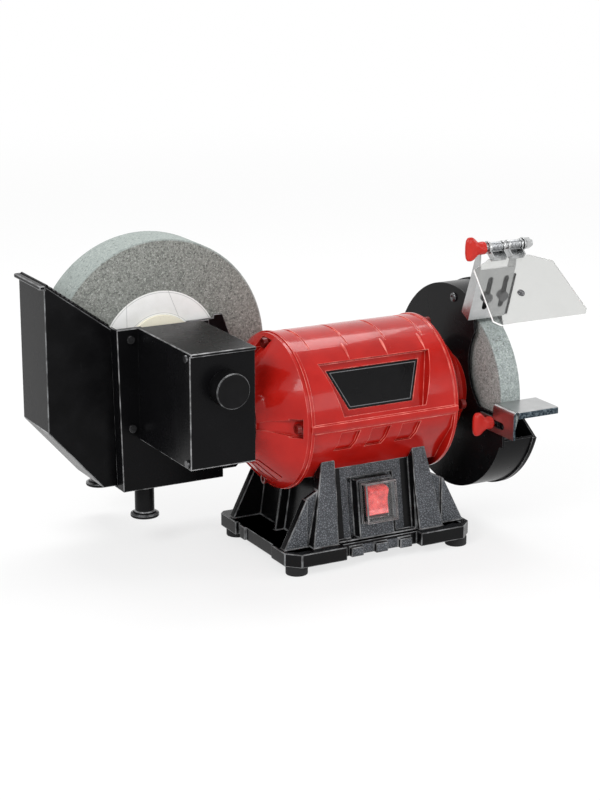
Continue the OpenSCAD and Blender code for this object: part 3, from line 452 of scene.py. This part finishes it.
def paper_finish(name, centre):
    """White paper ring with thin ruled rings and two straight lines, and a faint fibre; no lettering.
    Rings and lines are placed in mm from the ring's centre."""
    outer_ring = 53.6
    inner_ring = 35.6
    upright_at = -31
    slant_at = 27.7
    slant_way = (0.929, 0.371)
    f = Finish(name, Specular_IOR_Level=0.3)
    x, _, z = f.axes_mm(f.placed(centre))
    radius = (x * x + z * z) ** 0.5
    rings = radius.line(outer_ring, 0.12, 0.3).most(radius.line(inner_ring, 0.12, 0.3))
    fibre = f.noise(0.9, 4, 0.7)
    damp = f.noise(12, 4).ramp(0.45, 0.8)
    colour = f.mix(fibre, (0.84, 0.84, 0.83), (0.95, 0.95, 0.94))
    colour = f.mix(damp * 0.18, colour, (0.55, 0.54, 0.48))
    upright = x.line(upright_at, 0.1, 0.35)
    slanted = (x * slant_way[0] + z * slant_way[1]).line(slant_at, 0.1, 0.35)
    ruled = rings.most(upright).most(slanted)
    colour = f.mix(ruled * 0.55, colour, (0.16, 0.17, 0.18))
    f.relief(fibre, 0.03)
    return f.varies(Base_Color=colour, Roughness=0.78 + (fibre - 0.5) * 0.1)


def blotter_finish(name):
    """Cream card disc: pressed fibres with darker flecks."""
    f = Finish(name, Specular_IOR_Level=0.25)
    fibre = f.noise(1.4, 5, 0.7)
    fleck = f.cells(2.6).ramp(0.05, 0.16)
    colour = f.mix(fibre, (0.90, 0.85, 0.68), (0.98, 0.94, 0.80))
    colour = f.mix((1 - fleck) * 0.35, colour, (0.42, 0.38, 0.28))
    f.relief(fibre, 0.06)
    return f.varies(Base_Color=colour, Roughness=0.85 + (fibre - 0.5) * 0.1)


def clear_finish(name, tint, gloss, smeared=0.94):
    """Clear moulded sheet: almost colourless, with faint smears and hairline scratches in the gloss."""
    f = Finish(name, Transmission_Weight=1.0, IOR=1.46)
    smear = f.noise(16, 4, 0.6).ramp(0.45, 0.8)
    hair = f.noise(0.5, 2, 0.5, f.placed(turn=(0.3, 0.7, 0.4), stretch=(0.04, 1, 1))).ramp(0.68, 0.74)
    colour = f.mix(smear * 0.5, tint, tuple(c * smeared for c in tint))
    f.relief(hair, 0.01)
    f.varies(Base_Color=colour, Roughness=gloss + smear * 0.05 + hair * 0.12)
    return f


def shield_finish(name, lean, tint):
    """The eye shield: clear sheet whose sawn edges are painted white with a faint glow, a painted
    highlight.
    An edge is known by facing across the sheet, which leans by the given angle."""
    f = clear_finish(name, tint, 0.05, 0.95)
    _, y, z = f.facing()
    through = abs(z * math.sin(lean) - y * math.cos(lean))
    edge = 1 - through.ramp(0.45, 0.85)
    # painted highlight: a whitish, faintly glowing shader on the sheet's edges
    edge_painted_glow = f.node("ShaderNodeBsdfPrincipled", None, Base_Color=(0.9, 0.91, 0.9, 1), Roughness=0.35,
                 Emission_Color=(1, 1, 1, 1), Emission_Strength=0.25).outputs[0]
    both = f.node("ShaderNodeMixShader", None, edge * 0.85, f.shader.outputs[0], edge_painted_glow).outputs[0]
    return f.shown(both)


def glowing_rocker_finish(name):
    """Translucent red moulding of the rocker: deep red with lighter clouds, pinkish patches that are
    painted highlights, and a faint glow that is painted light.
    """
    # the emission is a painted glow
    f = Finish(name, Coat_Roughness=0.05, Specular_IOR_Level=0.5, Emission_Strength=0.35,
               Coat_Weight=0.6)
    cloud = f.noise(6, 4, 0.7)
    fine = f.noise(0.6, 2)
    colour = f.mix(cloud.ramp(0.3, 0.6), (0.50, 0.010, 0.012), (0.82, 0.07, 0.06))
    # painted highlights: pinkish patches on the red
    colour = f.mix(cloud.ramp(0.6, 0.75) * 0.6, colour, (0.95, 0.42, 0.38))
    f.relief(fine, 0.02)
    return f.varies(Base_Color=colour, Roughness=0.2 + (fine - 0.5) * 0.06, Emission_Color=colour)


def cast_finish(name, dark, light, gloss=0.55, metal=0.9, grain=1.1):
    """Cast or laminated metal: sandy grain, oily darker clouds."""
    f = Finish(name, Metallic=metal)
    sand = f.noise(grain, 3, 0.6)
    oil = f.noise(12, 4).ramp(0.4, 0.75)
    colour = f.mix(sand, dark, light)
    colour = f.mix(oil * 0.4, colour, tuple(c * 0.55 for c in dark))
    f.relief(sand, 0.10)
    return f.varies(Base_Color=colour, Roughness=gloss + (sand - 0.5) * 0.18 - oil * 0.12)


# ---------------------------------------------------------------- the finishes in use

black_plastic = moulded_finish("black_plastic", (0.0022, 0.0022, 0.0025), (0.005, 0.005, 0.0055), 0.26,
                               level=0.07)
black_fine = moulded_finish("black_fine_plastic", (0.003, 0.003, 0.0033), (0.006, 0.006, 0.0065),
                            0.32, 0.35, level=0.09)
black_stand = stand_finish("black_stand_moulding")
# edge finishes: painted highlights along the broken edges, with some handling wear
black_edge_highlight = edge_finish("black_rounded_edge_highlight", (0.020, 0.020, 0.021), (0.19, 0.195, 0.20), 0.6)
sheet_edge_highlight = edge_finish("black_sheet_edge_highlight", (0.020, 0.020, 0.021), (0.26, 0.26, 0.265), 0.7)
red_edge_highlight = edge_finish("red_rounded_edge_highlight", (0.48, 0.035, 0.025), (0.78, 0.19, 0.15), 0.6)
hood_edge_highlight = edge_finish("clear_hood_edge_highlight", (0.16, 0.14, 0.14), (0.36, 0.33, 0.33), 0.5)
under_panel = moulded_finish("underside_panel", (0.02, 0.02, 0.022), (0.035, 0.036, 0.038), 0.55)
red_shell = enamel_finish("red_shell_gloss", (0.335, 0.0065, 0.004), (0.43, 0.011, 0.007))
red_knob = enamel_finish("red_knob_plastic", (0.42, 0.014, 0.009), (0.56, 0.028, 0.018), 0.3)
rocker_painted_glow = glowing_rocker_finish("red_rocker_plastic_painted_glow")
plate_black = plate_finish("plate_gloss_black")
# the end-cap screws' dark red is a painted reflection of the red casing on dark screw heads
screw_red_reflection = enamel_finish("screw_painted_red_reflection", (0.10, 0.006, 0.005), (0.20, 0.012, 0.009), 0.28)
sheet_black = powder_finish("black_powder_coat", (0.0035, 0.0035, 0.004), 0.26)
screw_dark = brushed_finish("blackened_screw", (0.03, 0.03, 0.033), (0.17, 0.17, 0.175), "z", 0.22, 0.9)
zinc = brushed_finish("zinc_plate", (0.34, 0.345, 0.35), (0.62, 0.625, 0.62), "x", 0.24)
rest_zinc = rest_finish("rest_zinc_plate", (0.30, 0.305, 0.31), (0.58, 0.585, 0.58))
steel = brushed_finish("turned_steel", (0.30, 0.31, 0.32), (0.56, 0.57, 0.58), "x", 0.28)
iron = cast_finish("core_laminations", (0.16, 0.16, 0.17), (0.30, 0.30, 0.31))
grey_iron = cast_finish("grey_casting", (0.13, 0.13, 0.135), (0.24, 0.24, 0.25), 0.6, 0.7)
bronze = cast_finish("gear_bronze", (0.48, 0.30, 0.10), (0.66, 0.46, 0.18), 0.34, 1.0, 0.6)
copper = cast_finish("enamelled_copper", (0.42, 0.15, 0.06), (0.62, 0.27, 0.12), 0.3, 1.0, 0.9)
rubber = rubber_finish("black_rubber")
can_white = moulded_finish("capacitor_case", (0.52, 0.52, 0.49), (0.62, 0.62, 0.60), 0.45)
wet_grit = stone_finish("wet_stone_grit", WET_CENTRE, WET_RIM, (0.075, 0.08, 0.075),
                        (0.385, 0.40, 0.37), (0.24, 0.27, 0.258), (0.41, 0.455, 0.435), "y")
dry_grit = stone_finish("dry_wheel_grit", DRY_CENTRE, DRY_RIM, (0.10, 0.105, 0.10),
                        (0.46, 0.47, 0.45), (0.14, 0.165, 0.16), (0.44, 0.485, 0.475), "x")
paper = paper_finish("white_paper_ring", WET_CENTRE)
cream = blotter_finish("cream_card")
clear = shield_finish("clear_shield_sheet", math.radians(SHIELD_LEAN), (0.70, 0.705, 0.69))
clear_hood = clear_finish("clear_switch_hood", (0.97, 0.97, 0.97), 0.08).material


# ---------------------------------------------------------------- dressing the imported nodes

# the finish of each node
NODE_FINISH = {
    "stand": black_stand, "bottom_plate": under_panel, "rubber_feet": rubber,
    "motor_casing": red_shell, "left_end_cap": red_shell, "right_end_cap": red_shell,
    "end_cap_screws": screw_red_reflection, "nameplate": plate_black, "stator_core": iron,
    "stator_windings": copper, "motor_bearings": steel, "capacitor": can_white,
    "cable_gland": rubber, "switch_body": black_fine, "switch_hood": clear_hood, "rocker": rocker_painted_glow,
    "motor_shaft": steel, "rotor_core": iron, "worm": steel, "dry_wheel": dry_grit,
    "wheel_flanges": zinc, "wheel_nut": zinc, "guard_shell": sheet_black,
    "guard_cover": sheet_black, "guard_screws": screw_dark, "gear_housing": grey_iron,
    "spindle_bushes": bronze, "gearbox_cover": sheet_black, "cover_screws": screw_dark,
    "spindle_cap": black_fine, "wet_spindle": steel, "worm_wheel": bronze, "wet_stone": wet_grit,
    "stone_label": paper, "stone_flanges": cream, "spindle_nut": zinc,
    "tank_bracket": sheet_black, "bracket_screws": screw_dark, "tank_legs": black_fine,
    "water_tank": black_plastic, "tank_rest": black_plastic, "spark_bracket": zinc,
    "spark_screws": screw_dark, "shield_rod": zinc, "eye_shield": clear, "shield_clamps": zinc,
    "shield_springs": steel, "shield_knob": red_knob, "tool_rest": rest_zinc, "rest_bolt": zinc,
    "rest_knob": red_knob,
}

# width in mm that each node's hard edges are broken by; other nodes stay as they are
EDGE_BREAK = {
    "stand": 0.9, "bottom_plate": 0.5, "rubber_feet": 0.9, "motor_casing": 0.8,
    "left_end_cap": 0.8, "right_end_cap": 0.8, "nameplate": 0.4, "switch_body": 0.7,
    "switch_hood": 0.8, "rocker": 0.5, "guard_shell": 0.5, "guard_cover": 0.7,
    "gear_housing": 0.8, "gearbox_cover": 0.8, "spindle_cap": 1.2, "tank_bracket": 0.7,
    "tank_legs": 1.0, "water_tank": 0.8, "tank_rest": 0.5, "spark_bracket": 0.3,
    "shield_clamps": 0.3, "eye_shield": 0.35, "tool_rest": 0.5, "shield_knob": 1.0,
    "rest_knob": 1.0, "rest_bolt": 0.4, "wheel_nut": 0.4, "spindle_nut": 0.6,
    "wheel_flanges": 0.4, "stone_flanges": 0.3, "dry_wheel": 0.9, "wet_stone": 1.0,
    "end_cap_screws": 0.3, "cover_screws": 0.3, "guard_screws": 0.3, "bracket_screws": 0.3,
    "spark_screws": 0.3, "cable_gland": 0.6, "capacitor": 0.8,
}

# nodes whose edges all keep that width, even where short edges meet
CRISP = {"stand", "tank_bracket", "water_tank", "gearbox_cover"}

# the finish that a broken edge takes, by the name of the finish beside it: a painted highlight with some
# handling wear
EDGE_HIGHLIGHT = {
    "black_plastic": black_edge_highlight, "black_fine_plastic": black_edge_highlight,
    "black_stand_moulding": black_edge_highlight, "black_powder_coat": sheet_edge_highlight,
    "red_shell_gloss": red_edge_highlight, "red_knob_plastic": red_edge_highlight, "clear_switch_hood": hood_edge_highlight,
}


def dress(node, finish, width):
    """Gives a CAD node its finish, and breaks its hard edges where a width in mm is given.
    Triangles in one plane are joined first, so that only real edges are broken. The broken edge takes
    a brighter finish of the same stuff where there is one, a painted highlight with some handling wear."""
    data = nodes[node].data
    data.materials.clear()
    data.materials.append(finish)
    wear_and_highlight = EDGE_HIGHLIGHT.get(finish.name)
    if wear_and_highlight:
        data.materials.append(wear_and_highlight)
    data.polygons.foreach_set("use_smooth", np.ones(len(data.polygons), bool))
    if "custom_normal" in data.attributes:
        data.attributes.remove(data.attributes["custom_normal"])
    add = nodes[node].modifiers.new
    weld = add("weld", "WELD")
    weld.merge_threshold = WELD_REACH * MM
    if width:
        flat = add("flat", "DECIMATE")
        flat.decimate_type = "DISSOLVE"
        flat.angle_limit = math.radians(FLAT_ANGLE)
        rounded = add("edges", "BEVEL")
        rounded.width = width * MM
        rounded.segments = 2
        rounded.limit_method = "ANGLE"
        rounded.angle_limit = math.radians(HARD_ANGLE)
        rounded.material = 1 if wear_and_highlight else -1
        rounded.use_clamp_overlap = node not in CRISP
    split = add("split", "EDGE_SPLIT")
    split.split_angle = math.radians(SPLIT_ANGLE)
    even = add("even", "WEIGHTED_NORMAL")
    even.weight = EVEN_WEIGHT


for node, finish in NODE_FINISH.items():
    dress(node, finish, EDGE_BREAK.get(node))


# ---------------------------------------------------------------- meshes from arrays

def surface(name, points, body, finish):
    """A piece from n rings of m points each, in mm, of shape (n, m, 3), that rides on a body.
    Each four neighbours make a face. Rings drawn in to one point are merged there, so the piece is
    closed, and its faces are turned outwards."""
    points = np.asarray(points, float)
    n, m = points.shape[:2]
    i, j = np.meshgrid(np.arange(n - 1), np.arange(m), indexing="ij")
    j2 = (j + 1) % m
    quads = np.stack([i * m + j, (i + 1) * m + j, (i + 1) * m + j2, i * m + j2], -1).reshape(-1, 4)
    data = bpy.data.meshes.new(name)
    data.from_pydata((points.reshape(-1, 3) * MM).tolist(), [], quads.tolist())
    data.update()
    shape = bmesh.new()
    shape.from_mesh(data)
    bmesh.ops.remove_doubles(shape, verts=shape.verts, dist=MERGE_REACH * MM)
    bmesh.ops.recalc_face_normals(shape, faces=shape.faces)
    shape.to_mesh(data)
    shape.free()
    data.polygons.foreach_set("use_smooth", np.ones(len(data.polygons), bool))
    data.materials.append(finish)
    piece = bpy.data.objects.new(name, data)
    bpy.context.scene.collection.objects.link(piece)
    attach(piece, body)
    return piece


def coil(start, end, radius, wire, turns, per_turn=20, section=8):
    """A coil spring along x. The wire's middle is start + (end - start) * t + radius * out, with
    out = (0, cos a, sin a) and a = 2 pi * turns * t; each ring of the wire lies across its own path,
    and both ends are drawn in to a point."""
    start = np.asarray(start, float)
    end = np.asarray(end, float)
    t = np.linspace(0, 1, turns * per_turn + 1)
    a = 2 * np.pi * turns * t
    out = np.stack([0 * a, np.cos(a), np.sin(a)], -1)
    middle = start + (end - start) * t[:, None] + radius * out
    way = np.gradient(middle, axis=0)
    way /= np.linalg.norm(way, axis=1, keepdims=True)
    side = np.cross(way, out)
    side /= np.linalg.norm(side, axis=1, keepdims=True)
    b = np.linspace(0, 2 * np.pi, section, endpoint=False)
    ring = middle[:, None] + wire / 2 * (np.cos(b)[None, :, None] * out[:, None]
                                         + np.sin(b)[None, :, None] * side[:, None])
    first = np.repeat(middle[:1, None], section, 1)
    last = np.repeat(middle[-1:, None], section, 1)
    return np.concatenate([first, ring, last], 0)


def bead(x, start, end, width, height):
    """A short raised rib on the round casing, at one place x along the shaft, between two angles
    above level. Its section is an ellipse of width / 2 and height, times sin(pi * t ** 0.55), so it
    swells quickly from its start and draws in slowly to its end."""
    t = np.linspace(0, 1, 25)
    swell = np.sin(np.pi * t ** 0.55)
    angle = np.radians(start + (end - start) * t)
    b = np.linspace(0, 2 * np.pi, 12, endpoint=False)
    across = x + width / 2 * swell[:, None] * np.cos(b)[None]
    radius = CASING_R + height * swell[:, None] * np.sin(b)[None]
    return np.stack([across, -radius * np.cos(angle)[:, None],
                     AXIS_Z + radius * np.sin(angle)[:, None]], -1)


def button(centre, out, radius, height):
    """A round socket head: a profile, in shares of its radius and height, carried round the
    direction that it faces. Point = centre + radius * r * (cos a * one + sin a * two) + height * h * out
    for a profile point (r, h), with one and two square to out and to each other.
    The profile goes from the socket's floor over the domed rim to the back of the head."""
    profile = np.array([(0, 0.45), (0.36, 0.45), (0.42, 0.96), (0.6, 1.0), (0.82, 0.86),
                        (0.96, 0.55), (1.0, 0.2), (1.0, -0.05), (0, -0.05)])
    not_along_out = (0.0, 0.3, 1.0)
    out = np.asarray(out, float) / np.linalg.norm(out)
    one = np.cross(out, not_along_out)
    one /= np.linalg.norm(one)
    two = np.cross(out, one)
    a = np.linspace(0, 2 * np.pi, 36, endpoint=False)
    ring = np.cos(a)[:, None] * one + np.sin(a)[:, None] * two
    return (np.asarray(centre, float) + radius * profile[:, None, :1] * ring[None]
            + height * profile[:, None, 1:] * out)


def wing_knob(start, y, z, bore, wings):
    """A wing knob on a rod along x. Each cross-section is a superellipse, whose radius is
    (|cos a / w| ** n + |sin a / t| ** n) ** (-1 / n). Its half width w swells into the wings and draws
    in to the round collar, its half thickness t grows slowly, and n falls to 2, a circle. The collar
    has fine grip ribs, and its end is bored for the rod."""
    grip_ribs = 18
    grip_depth = 0.16
    nothing = 1e-6
    along = np.array([0, 0.2, 0.9, 2.2, 4.0, 6.0, 7.6, 9.0, 10.3, 11.4, 12.6, 13.4, 14.6, 16.4,
                      17.6, 18.3, 18.5, 18.5, 12.4, 12.2])
    wide = np.array([0, 5.0, 8.2, 9.9, 10.3, 10.2, 9.5, 8.3, 7.0, 6.0, 5.3, 5.3, 5.5, 5.5,
                     5.5, 5.3, 4.9, bore, bore, 0])
    thick = np.array([0, 1.3, 2.1, 2.7, 3.0, 3.0, 3.0, 3.2, 3.7, 4.4, 5.1, 5.3, 5.5, 5.5,
                      5.5, 5.3, 4.9, bore, bore, 0])
    power = np.interp(along, [0, 7, 12], [3.0, 2.6, 2.0])[:, None]
    grip = np.interp(along, [12.9, 13.6, 17.4, 18.2], [0, grip_depth, grip_depth, 0])
    grip = (grip * (wide > bore + 1))[:, None]
    a = np.linspace(0, 2 * np.pi, 72, endpoint=False)[None]
    w = np.maximum(wide, nothing)[:, None]
    t = np.maximum(thick, nothing)[:, None]
    radius = (abs(np.cos(a) / w) ** power + abs(np.sin(a) / t) ** power) ** (-1 / power)
    radius = radius - grip * (1 + np.cos(grip_ribs * a))
    first = radius * np.cos(a)
    second = radius * np.sin(a)
    up, across = (first, second) if wings == "z" else (second, first)
    return np.stack([start + along[:, None] + 0 * a, y + across, z + up], -1)


def add_knobs():
    """Sculpted wing knobs in place of the plain ones, each in the box and the turn of its node."""
    for node in ("shield_knob", "rest_knob"):
        low, high = (np.array(corner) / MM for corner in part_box(node))
        middle = (low + high) / 2
        wings = "z" if high[2] - low[2] > high[1] - low[1] else "y"
        shape = wing_knob(low[0], middle[1], middle[2], KNOB_BORE, wings)
        knob = surface(node + "_wings", shape, node + "_body", red_knob)
        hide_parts(node)


def add_beads():
    """The three short beads on the casing above the nameplate, in the brighter red of its edges: painted
    highlights where the grooves end.
    """
    for number, x in enumerate(BEAD_X, 1):
        shape = bead(x, start=63.0, end=45.5, width=2.6, height=1.1)
        surface("casing_bead_" + str(number), shape, "machine", red_edge_highlight)


def add_heads():
    """The bolt on the guard's face and the rivet through the eye shield."""
    bolt = button(FACE_BOLT, (-1, 0, 0), radius=4.2, height=2.2)
    surface("guard_face_bolt", bolt, "machine", screw_dark)
    tilt = math.radians(90 - SHIELD_LEAN)
    rivet = button(SHIELD_RIVET, (0, -math.sin(tilt), math.cos(tilt)), radius=3.4, height=1.3)
    surface("shield_rivet", rivet, "shield", screw_dark)


def add_springs():
    """The two coil springs on the shield's rod, in place of the plain tubes."""
    end_gap = 0.6
    for number, (start, end) in enumerate(SPRING_SPANS, 1):
        shape = coil((start + end_gap, ROD_Y, ROD_Z), (end - end_gap, ROD_Y, ROD_Z),
                     radius=3.62, wire=1.0, turns=7)
        spring = surface("clamp_spring_" + str(number), shape, "spark_arm", steel)
        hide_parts("shield_springs")


add_knobs()
add_beads()
add_heads()
add_springs()


# ---------------------------------------------------------------- floor and light

def floor():
    """A pale floor that the camera and clear or shiny parts see as nearly white, with a soft shadow,
    and as quite white far from the machine. Sizes are in m."""
    half = 24.0
    near_white = 0.72
    fade_from = 0.7
    fade_to = 2.6
    f = Finish("studio_floor", Specular_IOR_Level=0.0, Roughness=1.0)
    path = f.node("ShaderNodeLightPath").outputs
    seen = Value(f, path["Is Camera Ray"]).most(Value(f, path["Is Glossy Ray"]))
    seen = seen.most(Value(f, path["Is Transmission Ray"]))
    f.varies(Base_Color=f.mix(f.noise(120, 2), (0.82, 0.82, 0.82), (0.84, 0.84, 0.84)))
    glow = f.node("ShaderNodeEmission", None, (1, 1, 1, 1), 1.0).outputs[0]
    x, y, _ = f.axes()
    far = ((x * x + y * y) ** 0.5).ramp(fade_from, fade_to)
    white = seen * (near_white + far * (1 - near_white))
    f.shown(f.node("ShaderNodeMixShader", None, white, f.shader.outputs[0], glow).outputs[0])
    data = bpy.data.meshes.new("studio_floor")
    corners = [(-half, -half, 0), (half, -half, 0), (half, half, 0), (-half, half, 0)]
    data.from_pydata(corners, [], [(0, 1, 2, 3)])
    data.materials.append(f.material)
    ground = bpy.data.objects.new("studio_floor", data)
    bpy.context.scene.collection.objects.link(ground)


def sky(level):
    """A world that is white to the camera and in reflections, and lights the machine at a plain level."""
    world = bpy.data.worlds.new("studio")
    bpy.context.scene.world = world
    world.use_nodes = True
    tree = world.node_tree
    back = tree.nodes["Background"]
    path = tree.nodes.new("ShaderNodeLightPath")
    seen = path.outputs["Is Camera Ray"]
    for kind in ("Is Transmission Ray", "Is Glossy Ray"):
        either = tree.nodes.new("ShaderNodeMath")
        either.operation = "MAXIMUM"
        tree.links.new(seen, either.inputs[0])
        tree.links.new(path.outputs[kind], either.inputs[1])
        seen = either.outputs[0]
    strength = tree.nodes.new("ShaderNodeMapRange")
    tree.links.new(seen, strength.inputs["Value"])
    strength.inputs["To Min"].default_value = level
    strength.inputs["To Max"].default_value = 1.0
    tree.links.new(strength.outputs[0], back.inputs["Strength"])
    back.inputs["Color"].default_value = (1, 1, 1, 1)


aim_camera()
floor()
sky(0.5)
soft_lamp("key_left_front", (-1.9, -1.15, 1.7), 1.1, 1.1, 36)
soft_lamp("low_front", (0.5, -2.4, 0.9), 1.8, 1.0, 15)
soft_lamp("top_back", (0.2, 0.9, 1.9), 1.8, 0.8, 26)
soft_lamp("right_fill", (1.9, -0.9, 0.9), 0.8, 1.2, 14)

bpy.context.scene.view_settings.view_transform = "Standard"
